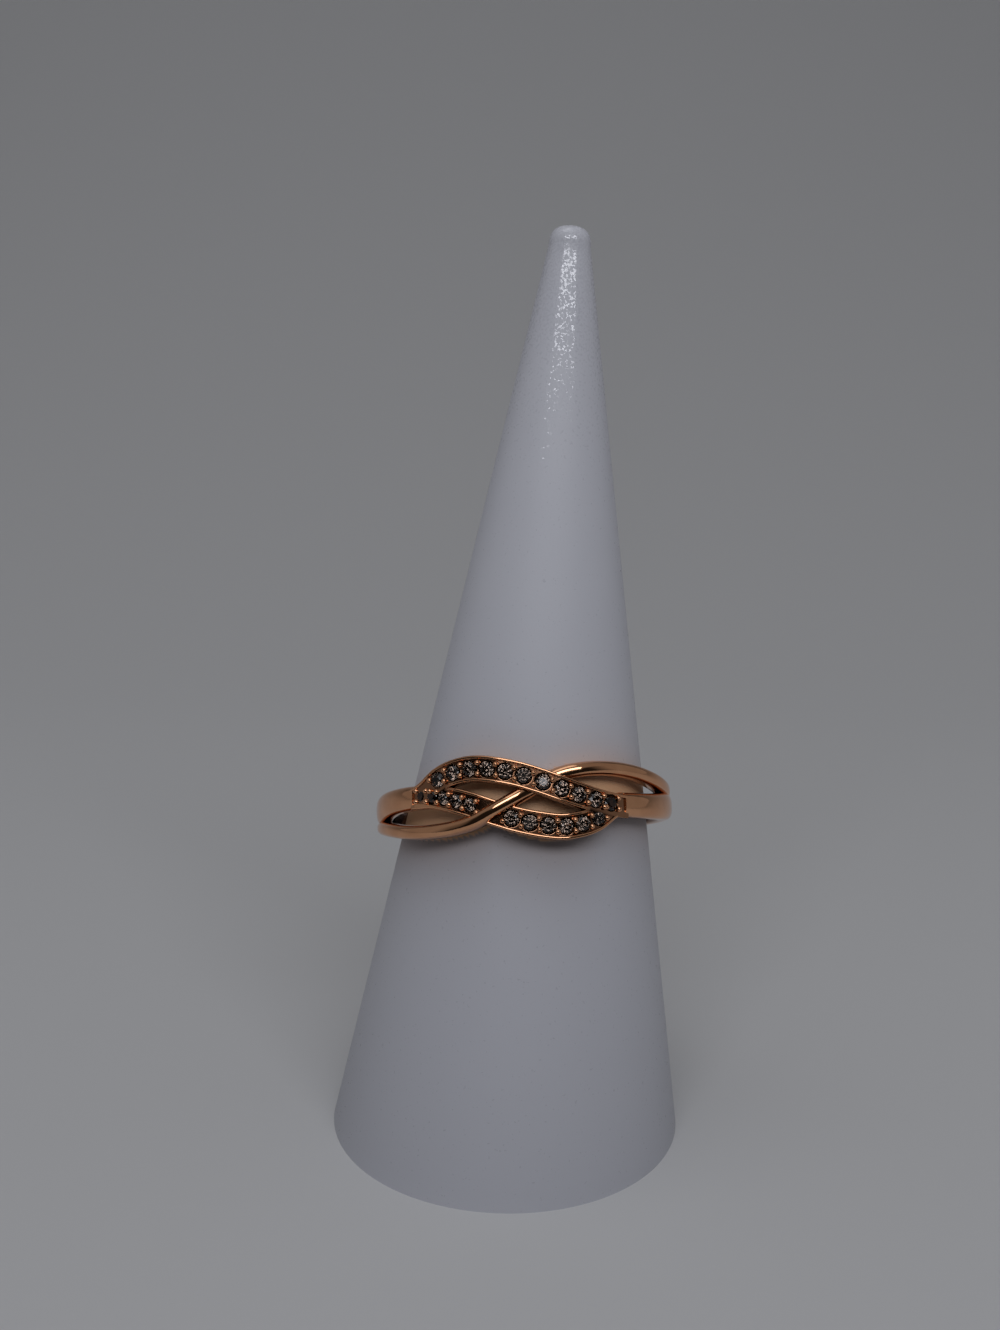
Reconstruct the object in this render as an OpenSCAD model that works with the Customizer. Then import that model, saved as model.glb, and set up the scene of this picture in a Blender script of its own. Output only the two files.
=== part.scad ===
// Infinity ring on a plain ring display cone.
// Three strands cross on the head of the ring: one plain and polished, two set with
// small round stones. The ring rests askew on a slim cone that leans a little.
// Millimetres, Z up, the floor at Z = 0 and the front towards -Y.
// The origin is where the cone's axis meets the floor.

/* [Ring] */
// Inside diameter of the ring
bore_d = 18.8; // [17:0.1:21]
// Width of the shank behind the head
shank_w = 2.0; // [1.6:0.1:2.6]
// Thickness of the shank
shank_t = 1.2; // [1:0.05:1.6]
// Thickness of the strands on the head
strand_t = 1.25; // [1.2:0.05:1.8]
// Width of the plain polished strand
plain_w = 0.98; // [0.9:0.02:1.3]
// Width of a strand set with stones
pave_w = 1.68; // [1.6:0.02:1.9]
// How far the middle lines of the stone rows swing to each side
swing = 1.98; // [1.8:0.05:2.4]
// How much a strand rises where it passes over another
cross_rise = 0.32; // [0.2:0.02:0.5]

/* [Stones] */
// Diameter of the round stones
stone_d = 1.0; // [0.9:0.05:1.1]
// Space between two stones of a row
stone_space = 0.22; // [0.18:0.02:0.3]
// Diameter of the smaller stones on the left of the lower row
small_d = 0.88; // [0.8:0.02:0.94]
// Space between two of the smaller stones
small_space = 0.09; // [0.07:0.01:0.14]
// Clearance between a stone and its seat
stone_gap = 0.03; // [0.02:0.01:0.05]
// Diameter of the metal grains that hold the stones
grain_d = 0.38; // [0.3:0.02:0.42]
// Width of the smooth rail along a stone row
rail_w = 0.2; // [0.15:0.01:0.26]
// Depth of the floor between the rails
rail_h = 0.13; // [0.08:0.01:0.2]

/* [Cone] */
// Length of the cone along its axis
cone_h = 63.2; // [55:0.5:75]
// Diameter of the cone at the floor
base_d = 25; // [23:0.5:30]
// Radius of the rounded tip
tip_r = 1.47; // [1:0.05:2.5]
// How far the cone leans away from the viewer, in degrees
lean_back = 5; // [0:0.5:7]
// How far the cone leans to the right, in degrees
lean_right = 2.9; // [0:0.1:5]

/* [Seat] */
// Gap left between the ring and the cone where they touch
seat_gap = 0.06; // [0.04:0.01:0.12]
// How far the head is tipped up from square to the cone, in degrees
tip_front = 18.7; // [8:0.1:20]
// How far the right side is tipped up from square to the cone, in degrees
tip_side = 5.5; // [0:0.1:7]
// How far the head is turned to the left, in degrees
head_turn = 3.2; // [-10:0.1:10]

/* [Hidden] */
ROW_UPPER = 11;
ROW_LOWER_LEFT = 5;
ROW_LOWER_RIGHT = 6;
ROW_LOWER = ROW_LOWER_LEFT + ROW_LOWER_RIGHT;
function stone_names(row, count) = [for (i = [1:count]) str(row, "_stone_", i)];

METAL = "#c98a62";
PLASTIC = "#d4d6e2";
GLASS = "#8a6f63";

bore_r = bore_d / 2;
shank_top = bore_r + shank_t;
strand_top = bore_r + strand_t;
base_r = base_d / 2;
tilt = [-tip_front, -tip_side, 0];
// Half the angle at the point of a cone that meets the round tip smoothly
cone_half = acos(tip_r / norm([base_r, cone_h - tip_r])) - atan2(cone_h - tip_r, base_r);

// The head's own measures: an angle round the bore from the middle of the head,
// positive to the right, and a share of the swing across, positive upwards.
// The pierced head ends where the stone rows meet the shank.
ROW_PLAN = 42.4;
// The plain strand runs into the sides of the shank and ends inside it
PLAIN_PLAN = 104;
// These angles and those of the tables are for strands of this outer radius. On a larger
// or smaller ring the head keeps its length, so that its angles close up or spread.
PLAN_R = 10.65;
spread = PLAN_R / strand_top;
ROW_END = ROW_PLAN * spread;
PLAIN_END = PLAIN_PLAN * spread;

// Columns of the tables of strands
ANGLE = 0;
ACROSS = 1;
WIDTH = 2;
TOP = 3;
// Upper stone row: across in shares of swing, width in shares of pave_w,
// top in shares of cross_rise above the strands' height
UPPER = [
    [-46, 0.13, 0.80, -0.3], [-38, 0.31, 0.88, 0.0], [-30, 0.71, 0.96, 0.1],
    [-24, 0.90, 1.00, 0.2],  [-16, 1.00, 1.02, 0.2], [-8, 0.92, 1.02, 0.3],
    [0, 0.75, 1.00, 0.6],    [8, 0.50, 1.00, 0.9],   [16, 0.23, 1.00, 0.7],
    [24, 0.00, 0.98, 0.3],   [32, -0.17, 0.92, 0.1], [40, -0.24, 0.80, -0.1],
    [46, -0.25, 0.76, -0.3]];
// Lower stone row: the upper one turned half way round, lower where it passes under
LOWER_TOP = [
    [-46, -0.5], [-38, -0.3], [-30, -0.15], [-22, -0.1], [-14, -0.4], [-8, -0.5],
    [-2, -0.3], [6, 0.0], [16, 0.15], [24, 0.0], [32, -0.25], [38, -0.4], [46, -0.7]];
// Right half of the plain strand: across in shares of swing, width in shares of plain_w
PLAIN_HALF = [
    [0, 0.00, 1.0],   [8, 0.39, 1.0],   [16, 0.74, 1.0],  [24, 0.90, 1.0],
    [32, 0.96, 1.0],  [40, 0.96, 1.0],  [50, 0.89, 1.0],  [60, 0.77, 1.0],
    [70, 0.65, 0.98], [80, 0.54, 0.94], [92, 0.38, 0.88], [104, 0.20, 0.80]];
// Height of the plain strand in shares of cross_rise: over the lower row, under the upper
PLAIN_TOP = [
    [-104, -1.2], [-92, -0.7], [-80, -0.3], [-60, 0.0], [-40, 0.1], [-24, 0.3],
    [-15, 0.9], [-8, 1.3], [-1, 0.9], [6, -0.6], [12, -0.9], [18, -0.2], [24, 0.3],
    [40, 0.1], [60, 0.0], [80, -0.3], [92, -0.7], [104, -1.2]];
// Right half of the shank, up to the middle of the back: across in shares of swing,
// width in shares of shank_w
SHANK_HALF = [
    [42.4, -0.22, 0.81], [50, -0.22, 0.84], [60, -0.20, 0.87], [70, -0.15, 0.92],
    [80, -0.08, 0.97],   [95, 0.00, 1.00],  [130, 0.00, 0.96], [180, 0.00, 0.92]];
// Where a row runs into the shank, its lower rail widens to a smooth border: to the left
// on the lower row and to the right on the upper one. Widths in shares of rail_w.
BORDER = [[-60, 0], [22, 0], [28, 0], [34, 0.3], [40, 1.0], [46, 1.1], [60, 1.1]];

// A table turned half way round about the middle of the head
function turned(table) =
    [for (i = [len(table) - 1:-1:0]) concat([-table[i][ANGLE], -table[i][ACROSS]],
        [for (c = [WIDTH:1:len(table[i]) - 1]) table[i][c]])];
PLAIN = concat(turned([for (i = [1:len(PLAIN_HALF) - 1]) PLAIN_HALF[i]]), PLAIN_HALF);
LOWER = turned(UPPER);
// The shank runs on past the back to the left end of the head
SHANK = concat(SHANK_HALF, [for (i = [len(SHANK_HALF) - 2:-1:0])
    [360 - SHANK_HALF[i][ANGLE], -SHANK_HALF[i][ACROSS], SHANK_HALF[i][WIDTH]]]);

// A smooth curve through a table's rows: the value of one column at a table's angle
function row_at(table, angle) =
    let (n = len([for (row = table) if (row[ANGLE] <= angle) 1]))
    max(0, min(len(table) - 2, n - 1));
function slope(table, i, col) =
    let (a = max(0, i - 1), b = min(len(table) - 1, i + 1))
    (table[b][col] - table[a][col]) / (table[b][ANGLE] - table[a][ANGLE]);
function plan_curve(table, angle, col) =
    let (i = row_at(table, angle), d = table[i + 1][ANGLE] - table[i][ANGLE],
        t = (angle - table[i][ANGLE]) / d, u = 1 - t)
    u * u * (1 + 2 * t) * table[i][col] + t * t * (3 - 2 * t) * table[i + 1][col]
    + t * u * d * (u * slope(table, i, col) - t * slope(table, i + 1, col));
// The same at an angle of this ring, on the head and on the shank
function curve(table, angle, col) = plan_curve(table, angle / spread, col);
function shank_curve(angle, col) =
    plan_curve(SHANK, 180 + (angle - 180) * (180 - ROW_PLAN) / (180 - ROW_END), col);

// How much wider a slanting strand is when cut square to the bore
function slant(table, angle) =
    let (run = 2 * PI * strand_top * 2 / 360,
        climb = swing * (curve(table, angle + 1, ACROSS) - curve(table, angle - 1, ACROSS)))
    norm([run, climb]) / run;

// A point at an angle round the bore, a radius and a place across
function round_bore(angle, r, across) = [r * sin(angle), -r * cos(angle), across];

// Each strand's inside lies a little further out than the last, so that where two
// run together only one of them makes the bore: shank, upper, lower, plain. The step
// between two of them is a share of strand_t.
RELIEF = 0.016;
SHANK_IN = 0;
UPPER_IN = 1;
LOWER_IN = 2;
PLAIN_IN = 3;

// Outline of a polished strand, from edge to edge over its dome and back inside.
// Each point is a share of the half width and a share of the thickness. The dome is
// buffed flatter than an ellipse: its power is 2 for an ellipse and grows as it flattens.
DOME_STEPS = 8;
SHOULDER = 0.44;
DOME_POWER = 2.7;
function bulge(share) = sign(share) * pow(abs(share), 2 / DOME_POWER);
// The inside is eased towards its edges, so that the ring slips on easily
EASED = [[0.6, 0], [0.84, 0.06], [0.97, 0.2]];
function inside_line(half, inside, thick) = concat(
    [for (i = [len(EASED) - 1:-1:0]) [-EASED[i].x * half, inside + EASED[i].y * thick]],
    [for (p = EASED) [p.x * half, inside + p.y * thick]]);
DOME = concat([for (i = [0:DOME_STEPS]) let (a = 180 * i / DOME_STEPS)
    [bulge(cos(a)), SHOULDER + (1 - SHOULDER) * bulge(sin(a))]], inside_line(1, 0, 1));
function dome_ring(angle, across, wide, top, depth) =
    let (inside = bore_r + RELIEF * strand_t * depth)
    [for (p = DOME) round_bore(angle, inside + (top - inside) * p.y, across + p.x * wide / 2)];

// Outline of a stone row: a rail at each edge and the floor between them.
// Each point of a rail is a share of rail_w inwards and a share of its height down.
// The rails sink into the floor where two rows run together.
RAIL = [[0, 3.3], [0.3, 0.2], [0.8, 0.1], [1.2, 1]];
RAIL_FOOT = RAIL[3].x;
function rail(edge, inward, top, height, border) = [for (p = RAIL)
    [edge + inward * p.x * rail_w - (p.x < 0.5 ? inward * border : 0),
        p.y > 1 ? top - height - (p.y - 1) * rail_h : top - p.y * height]];
function pave_ring(angle, across, wide, top, upper_h, lower_h, border, depth) =
    let (half = wide / 2, floor_r = top - rail_h, inside = bore_r + RELIEF * strand_t * depth,
        high = rail(half, -1, floor_r + upper_h, upper_h, 0),
        low = rail(-half, 1, floor_r + lower_h, lower_h, border))
    [for (p = concat(high, [for (i = [len(low) - 1:-1:0]) low[i]],
            [for (q = inside_line(half, inside, strand_t)) [q.x < 0 ? q.x - border : q.x, q.y]]))
        round_bore(angle, p.y, across + p.x)];

// A closed skin over a chain of rings that all have the same number of points
module skin(rings) {
    n = len(rings[0]);
    last = (len(rings) - 1) * n;
    polyhedron(
        points = [for (ring = rings) for (p = ring) p],
        faces = concat(
            [[for (j = [0:n - 1]) j]],
            [for (i = [0:len(rings) - 2]) for (j = [0:n - 1])
                [i * n + j, (i + 1) * n + j, (i + 1) * n + (j + 1) % n, i * n + (j + 1) % n]],
            [[for (j = [n - 1:-1:0]) last + j]]));
}

// Angles from one to another in equal steps of about the given size, in degrees
ROW_STEP = 3.4;
PLAIN_STEP = 3.9;
SHANK_STEP = 6.3;
function sweep(from, to, step) =
    let (n = ceil((to - from) / step)) [for (i = [0:n]) from + (to - from) * i / n];

// Across, width and top of the two stone rows
function pave_across(upper, angle) = swing * curve(upper ? UPPER : LOWER, angle, ACROSS);
function pave_wide(upper, angle) =
    pave_w * curve(upper ? UPPER : LOWER, angle, WIDTH) * slant(upper ? UPPER : LOWER, angle);
function pave_top(upper, angle) =
    strand_top + cross_rise * (upper ? curve(UPPER, angle, TOP) : curve(LOWER_TOP, angle, 1));
// The inner rail of a row is full only between the places where the rows part.
// It sinks over the last few degrees to a small share of its height.
MEET = 27;
BLEND = 4;
SUNK = 0.12;
function inner_rail(angle) = rail_h * max(SUNK, min(1, (MEET - abs(angle) / spread) / BLEND));

// The rows run this far into the ends of the shank, in degrees. The lower one ends
// sooner, so that the sections of the two rows never fall in one plane.
UPPER_INTO = 1.6;
LOWER_INTO = 1.1;
module stone_row(upper) {
    end = ROW_END + (upper ? UPPER_INTO : LOWER_INTO);
    skin([for (a = sweep(-end, end, ROW_STEP))
        pave_ring(a, pave_across(upper, a), pave_wide(upper, a), pave_top(upper, a),
            upper ? rail_h : inner_rail(a), upper ? inner_rail(a) : rail_h,
            rail_w * curve(BORDER, upper ? a : -a, 1), upper ? UPPER_IN : LOWER_IN)]);
}

module plain_strand() {
    skin([for (a = sweep(-PLAIN_END, PLAIN_END, PLAIN_STEP))
        dome_ring(a, swing * curve(PLAIN, a, ACROSS),
            plain_w * curve(PLAIN, a, WIDTH) * slant(PLAIN, a),
            strand_top + cross_rise * curve(PLAIN_TOP, a, 1), PLAIN_IN)]);
}

module shank() {
    skin([for (a = sweep(ROW_END, 360 - ROW_END, SHANK_STEP))
        dome_ring(a, swing * shank_curve(a, ACROSS), shank_w * shank_curve(a, WIDTH),
            shank_top, SHANK_IN)]);
}

// Angles of the stones along each row, measured on the strands' height. The stones on the
// right of the lower row stand a little closer where it dips under the other strands.
CLOSER = 0.985;
function turn_of(length) = 360 * length / (2 * PI * strand_top);
pitch = turn_of(stone_d + stone_space);
small_pitch = turn_of(small_d + small_space);
UPPER_MIDDLE = 2.75;
RIGHT_START = -2;
LEFT_LAST = -17.4;
upper_angles = [for (i = [0:ROW_UPPER - 1])
    UPPER_MIDDLE * spread + (i - (ROW_UPPER - 1) / 2) * pitch];
lower_angles = concat(
    [for (i = [ROW_LOWER_LEFT - 1:-1:0]) LEFT_LAST * spread - i * small_pitch],
    [for (i = [0:ROW_LOWER_RIGHT - 1]) RIGHT_START * spread + i * pitch * CLOSER]);
function angle_of(upper, i) = (upper ? upper_angles : lower_angles)[i];
function size_of(upper, i) = !upper && i < ROW_LOWER_LEFT ? small_d : stone_d;

// Heights of a stone as shares of its diameter: above and below its widest line
CROWN = 0.17;
PAVILION = 0.42;
TABLE = 0.56;
GIRDLE = 0.05;
FACETS = 8;
// The widest line lies this far under the floor between the rails
GIRDLE_SINK = 0.02;

// Puts something where a stone of a row sits, pointing straight out from the bore
module at_row(upper, angle) {
    rotate([0, 0, angle])
        translate([0, -(pave_top(upper, angle) - rail_h - GIRDLE_SINK), pave_across(upper, angle)])
            rotate([90, 0, 0]) children();
}

// A round cut stone: an eight-sided table, a crown of small facets, a thin upright edge
// of twice as many sides and an underside that runs to a point
function polygon_ring(r, z, sides) =
    [for (i = [0:sides - 1]) let (a = 360 * i / sides) [r * cos(a), r * sin(a), z]];
module cut_stone(d) {
    edge = 2 * FACETS;
    up = FACETS;
    down = up + edge;
    tip = down + edge;
    polyhedron(
        points = concat(polygon_ring(TABLE / 2 * d, (CROWN + GIRDLE / 2) * d, FACETS),
            polygon_ring(d / 2, GIRDLE / 2 * d, edge), polygon_ring(d / 2, -GIRDLE / 2 * d, edge),
            [[0, 0, -(PAVILION + GIRDLE / 2) * d]]),
        faces = concat(
            [[for (i = [FACETS - 1:-1:0]) i]],
            [for (i = [0:FACETS - 1]) [i, (i + 1) % FACETS, up + 2 * i + 1]],
            [for (i = [0:FACETS - 1]) for (side = [-1, 0])
                [i, up + (2 * i + side + 1) % edge, up + (2 * i + side + edge) % edge]],
            [for (i = [0:edge - 1]) [up + i, up + (i + 1) % edge, down + (i + 1) % edge, down + i]],
            [for (i = [0:edge - 1]) [down + i, down + (i + 1) % edge, tip]]));
}

// The space that a stone needs in the metal, open to the outside, with a narrow ledge
// under the stone's edge and a small flat under its point. Flat sides of neighbouring
// seats face each other, so that a thin wall stays between them.
SEAT_SIDES = 12;
LEDGE = 0.03;
SEAT_FLAT = 0.08;
// It reaches out past the highest strand and its grains
SEAT_OUT = 0.7;
module stone_seat(d) {
    wide = (d / 2 + stone_gap) / cos(180 / SEAT_SIDES);
    edge_z = -GIRDLE / 2 * d;
    deep = PAVILION * d + LEDGE;
    out = edge_z + 2 * cross_rise + SEAT_OUT;
    rotate(180 / SEAT_SIDES) rotate_extrude($fn = SEAT_SIDES)
        polygon([[0, edge_z - deep], [SEAT_FLAT * d, edge_z - deep],
            [wide - LEDGE, edge_z - LEDGE], [wide, edge_z - LEDGE], [wide, out], [0, out]]);
}

// A grain of metal raised beside the stones: a round head on a short stem. Its heights
// are shares of its diameter, from the widest line of the stones.
GRAIN_SIDES = 8;
GRAIN_HEAD = 0.26;
GRAIN_FOOT = 0.3;
module grain() {
    hull() {
        translate([0, 0, GRAIN_HEAD * grain_d]) sphere(d = grain_d, $fn = GRAIN_SIDES);
        translate([0, 0, -GRAIN_FOOT * grain_d])
            cylinder(d = grain_d, h = GRAIN_FOOT * grain_d, $fn = GRAIN_SIDES);
    }
}

// Two grains at each place between, before and after the stones of a group. Each stands
// this share of its diameter inside the foot of the rail.
GRAIN_IN = 0.64;
module grains(upper, first, last, space) {
    step = turn_of(size_of(upper, first) + space) / 2;
    from_middle = pave_w / 2 - RAIL_FOOT * rail_w - GRAIN_IN * grain_d;
    for (angle = concat([angle_of(upper, first) - step],
            [for (i = [first:last]) angle_of(upper, i) + step]))
        for (side = [-1, 1]) at_row(upper, angle) translate([0, side * from_middle, 0]) grain();
}

module head() {
    stone_row(true);
    stone_row(false);
    plain_strand();
    grains(true, 0, ROW_UPPER - 1, stone_space);
    grains(false, 0, ROW_LOWER_LEFT - 1, small_space);
    grains(false, ROW_LOWER_LEFT, ROW_LOWER - 1, stone_space);
}

// Where the ring rests: it slides down the cone until its inner edge is seat_gap away.
// Everything here is measured in the cone's own frame, along its axis.
function turn_x(p, a) = [p.x, p.y * cos(a) - p.z * sin(a), p.y * sin(a) + p.z * cos(a)];
function turn_y(p, a) = [p.x * cos(a) + p.z * sin(a), p.y, p.z * cos(a) - p.x * sin(a)];
function turn_z(p, a) = [p.x * cos(a) - p.y * sin(a), p.x * sin(a) + p.y * cos(a), p.z];
function tipped(p) = turn_y(turn_x(turn_z(p, -head_turn), tilt.x), tilt.y);
// Upper edge of the ring at an angle; the lower edge is the same turned half way round
function top_edge(angle) =
    let (a = angle > 180 ? angle - 360 : angle, b = a < 0 ? a + 360 : a)
    max(
        b < ROW_END || b > 360 - ROW_END ? 0
            : swing * shank_curve(b, ACROSS) + shank_w / 2 * shank_curve(b, WIDTH),
        abs(a) > PLAIN_END ? 0
            : swing * curve(PLAIN, a, ACROSS) + plain_w / 2 * curve(PLAIN, a, WIDTH) * slant(PLAIN, a),
        abs(a) > ROW_END ? 0 : pave_across(true, a) + pave_wide(true, a) / 2);
EDGE_STEP = 4;
edge_points = [for (a = [-180:EDGE_STEP:180 - EDGE_STEP]) for (side = [-1, 1]) for (p = EASED)
    tipped(round_bore(a, bore_r + p.y * shank_t, side * (top_edge(side * a) - (1 - p.x) * shank_w / 2)))];
// The ring's middle lies beside the cone's axis by these shares of the bore
SHIFT_RIGHT = -0.0305;
SHIFT_BACK = 0.0533;
ring_shift = [SHIFT_RIGHT, SHIFT_BACK, 0] * bore_r;
seat_up = max([for (p = edge_points)
    (base_r + seat_gap / cos(cone_half) - norm([p.x + ring_shift.x, p.y + ring_shift.y]))
        / tan(cone_half) - p.z]);

module on_cone() { rotate([-lean_back, lean_right, 0]) children(); }
module on_seat() {
    on_cone() translate(ring_shift + [0, 0, seat_up]) rotate(tilt) rotate([0, 0, -head_turn]) children();
}

module band() {
    color(METAL) on_seat() difference() {
        union() {
            shank();
            head();
        }
        for (i = [0:ROW_UPPER - 1]) at_row(true, angle_of(true, i)) stone_seat(size_of(true, i));
        for (i = [0:ROW_LOWER - 1]) at_row(false, angle_of(false, i)) stone_seat(size_of(false, i));
    }
}

module stone(upper, i) {
    color(GLASS) on_seat() at_row(upper, angle_of(upper, i)) cut_stone(size_of(upper, i));
}

// The cone goes on below the floor, so that the floor cuts it flat although it leans
BELOW = 4;
module cone() {
    color(PLASTIC) difference() {
        on_cone() {
            translate([0, 0, -BELOW])
                cylinder(r1 = base_r + BELOW * tan(cone_half), r2 = tip_r * cos(cone_half),
                    h = BELOW + cone_h - tip_r + tip_r * sin(cone_half), $fn = 96);
            translate([0, 0, cone_h - tip_r]) sphere(r = tip_r, $fn = 96);
        }
        translate([-2 * base_d, -2 * base_d, -4 * BELOW]) cube([4 * base_d, 4 * base_d, 4 * BELOW]);
    }
}

cone();
band();
for (i = [0:ROW_UPPER - 1])
    stone(true, i);
for (i = [0:ROW_LOWER - 1])
    stone(false, i);
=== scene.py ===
# %% [markdown]
# # An infinity ring on its display cone
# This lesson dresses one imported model: a rose gold ring whose head is three strands that
# cross like a lying figure eight, worn askew by a slim white display cone. Two strands are
# set with small round stones and one is plain and polished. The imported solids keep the
# sizes, and here the same curves are worked out again as fine surfaces, because polished
# metal shows every facet of a coarse one.

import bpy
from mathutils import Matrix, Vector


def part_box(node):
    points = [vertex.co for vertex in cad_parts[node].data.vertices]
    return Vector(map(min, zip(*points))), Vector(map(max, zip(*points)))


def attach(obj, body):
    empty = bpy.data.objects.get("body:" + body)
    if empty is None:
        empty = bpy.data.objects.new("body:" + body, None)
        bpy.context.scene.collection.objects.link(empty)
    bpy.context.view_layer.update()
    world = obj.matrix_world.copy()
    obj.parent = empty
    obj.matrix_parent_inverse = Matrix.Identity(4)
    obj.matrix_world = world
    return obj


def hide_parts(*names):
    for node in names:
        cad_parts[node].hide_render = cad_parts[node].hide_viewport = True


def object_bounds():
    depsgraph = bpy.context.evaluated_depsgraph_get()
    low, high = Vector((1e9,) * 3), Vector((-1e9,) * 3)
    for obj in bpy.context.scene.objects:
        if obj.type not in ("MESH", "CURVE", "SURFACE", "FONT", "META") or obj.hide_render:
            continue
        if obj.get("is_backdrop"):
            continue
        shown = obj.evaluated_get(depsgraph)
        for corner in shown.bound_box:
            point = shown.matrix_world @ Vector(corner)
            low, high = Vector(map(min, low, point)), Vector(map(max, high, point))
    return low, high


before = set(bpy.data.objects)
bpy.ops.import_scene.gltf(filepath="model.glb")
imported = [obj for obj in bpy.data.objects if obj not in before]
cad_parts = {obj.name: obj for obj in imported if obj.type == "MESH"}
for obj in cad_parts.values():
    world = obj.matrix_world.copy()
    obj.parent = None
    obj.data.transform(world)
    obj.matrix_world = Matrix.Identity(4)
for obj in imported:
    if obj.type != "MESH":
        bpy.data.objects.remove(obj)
cad_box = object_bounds()
print("packed nodes:", len(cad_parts))

# %% [markdown]
# ## The ring's measures
# A goldsmith plans such a head on the unrolled band: how far round each strand's middle
# line is, how far across it lies, how wide it is and how high it stands. Short tables say
# this at a few angles, and a smooth curve runs through their rows. Angles are counted in
# degrees from the middle of the head, positive to the right, and lengths are in
# millimetres until a surface is placed.

# %% Sizes of the ring and the cone
import math

import bpy
import numpy as np
from mathutils import Matrix, Vector

MM = 0.001
BORE_R = 18.8 / 2
SHANK_WIDE, SHANK_THICK = 2.0, 1.2
STRAND_THICK = 1.25
PLAIN_WIDE, PAVE_WIDE = 0.98, 1.68
SWING = 1.98
CROSS_RISE = 0.32
SHANK_TOP = BORE_R + SHANK_THICK
STRAND_TOP = BORE_R + STRAND_THICK
ROW_END = 42.4
PLAIN_END = 104.0
CONE_H, BASE_R, TIP_R = 63.2, 25 / 2, 1.47
print("ring measures", 2 * BORE_R, "mm inside")

# %% Tables of the strands
ANGLE, ACROSS, WIDTH, TOP = range(4)
UPPER = np.array([
    [-46, 0.13, 0.80, -0.3], [-38, 0.31, 0.88, 0.0], [-30, 0.71, 0.96, 0.1],
    [-24, 0.90, 1.00, 0.2], [-16, 1.00, 1.02, 0.2], [-8, 0.92, 1.02, 0.3],
    [0, 0.75, 1.00, 0.6], [8, 0.50, 1.00, 0.9], [16, 0.23, 1.00, 0.7],
    [24, 0.00, 0.98, 0.3], [32, -0.17, 0.92, 0.1], [40, -0.24, 0.80, -0.1],
    [46, -0.25, 0.76, -0.3]])
LOWER_TOP = np.array([
    [-46, -0.5], [-38, -0.3], [-30, -0.15], [-22, -0.1], [-14, -0.4], [-8, -0.5],
    [-2, -0.3], [6, 0.0], [16, 0.15], [24, 0.0], [32, -0.25], [38, -0.4], [46, -0.7]])
PLAIN_HALF = np.array([
    [0, 0.00, 1.0], [8, 0.39, 1.0], [16, 0.74, 1.0], [24, 0.90, 1.0],
    [32, 0.96, 1.0], [40, 0.96, 1.0], [50, 0.89, 1.0], [60, 0.77, 1.0],
    [70, 0.65, 0.98], [80, 0.54, 0.94], [92, 0.38, 0.88], [104, 0.20, 0.80]])
PLAIN_TOP = np.array([
    [-104, -1.2], [-92, -0.7], [-80, -0.3], [-60, 0.0], [-40, 0.1], [-24, 0.3],
    [-15, 0.9], [-8, 1.3], [-1, 0.9], [6, -0.6], [12, -0.9], [18, -0.2], [24, 0.3],
    [40, 0.1], [60, 0.0], [80, -0.3], [92, -0.7], [104, -1.2]])
SHANK_HALF = np.array([
    [42.4, -0.22, 0.81], [50, -0.22, 0.84], [60, -0.20, 0.87], [70, -0.15, 0.92],
    [80, -0.08, 0.97], [95, 0.00, 1.00], [130, 0.00, 0.96], [180, 0.00, 0.92]])
HALF_TURN = np.array([-1, -1, 1])
PLAIN = np.vstack([PLAIN_HALF[:0:-1] * HALF_TURN, PLAIN_HALF])
LOWER = (UPPER[:, :3] * HALF_TURN)[::-1]
SHANK = np.vstack([SHANK_HALF, SHANK_HALF[-2::-1] * HALF_TURN + [360, 0, 0]])
print("rows in the tables:", len(UPPER), len(PLAIN), len(SHANK))


# %% The smooth curve through a table
def flow(table, column, angle):
    """Cubic curve through a table's rows. At each row its slope is the slope between the
    two neighbours, and between two rows it blends their values and slopes."""
    x, y = table[:, ANGLE], table[:, column]
    here = np.arange(len(x))
    before, after = np.maximum(here - 1, 0), np.minimum(here + 1, len(x) - 1)
    slope = (y[after] - y[before]) / (x[after] - x[before])
    i = np.clip(np.searchsorted(x, angle, side="right") - 1, 0, len(x) - 2)
    gap = x[i + 1] - x[i]
    t = (angle - x[i]) / gap
    u = 1 - t
    ends = u * u * (1 + 2 * t) * y[i] + t * t * (3 - 2 * t) * y[i + 1]
    return ends + t * u * gap * (u * slope[i] - t * slope[i + 1])


def slant(table, angle):
    """How much wider a strand is when cut square to the bore: its run along the band and
    its climb across it, over its run alone."""
    run = math.radians(2) * STRAND_TOP
    climb = SWING * (flow(table, ACROSS, angle + 1) - flow(table, ACROSS, angle - 1))
    return np.hypot(run, climb) / run


print("the upper row leans most by a factor of", round(float(slant(UPPER, np.arange(-40, 41)).max()), 2))

# %% [markdown]
# ## Where the ring sits
# The cone leans back and to the right, and the ring is tipped on it, so that it touches
# the cone and doesn't float. A chain of turns brings the flat plan to its place. How far
# the ring has slid down the cone isn't typed in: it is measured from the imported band.

# %% From the plan to the cone
LEAN_BACK, LEAN_RIGHT = 5, 2.9
TIP_FRONT, TIP_SIDE, HEAD_TURN = 18.7, 5.5, 3.2
SHIFT_RIGHT, SHIFT_BACK = -0.0305, 0.0533


def turned(axis, degrees):
    """The matrix of a turn about one axis."""
    return np.array(Matrix.Rotation(math.radians(degrees), 3, axis))


CONE_TURN = turned("Y", LEAN_RIGHT) @ turned("X", -LEAN_BACK)
RING_TURN = turned("Y", -TIP_SIDE) @ turned("X", -TIP_FRONT) @ turned("Z", -HEAD_TURN)
ring_middle = np.array([SHIFT_RIGHT * BORE_R, SHIFT_BACK * BORE_R, 0.0])


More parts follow.
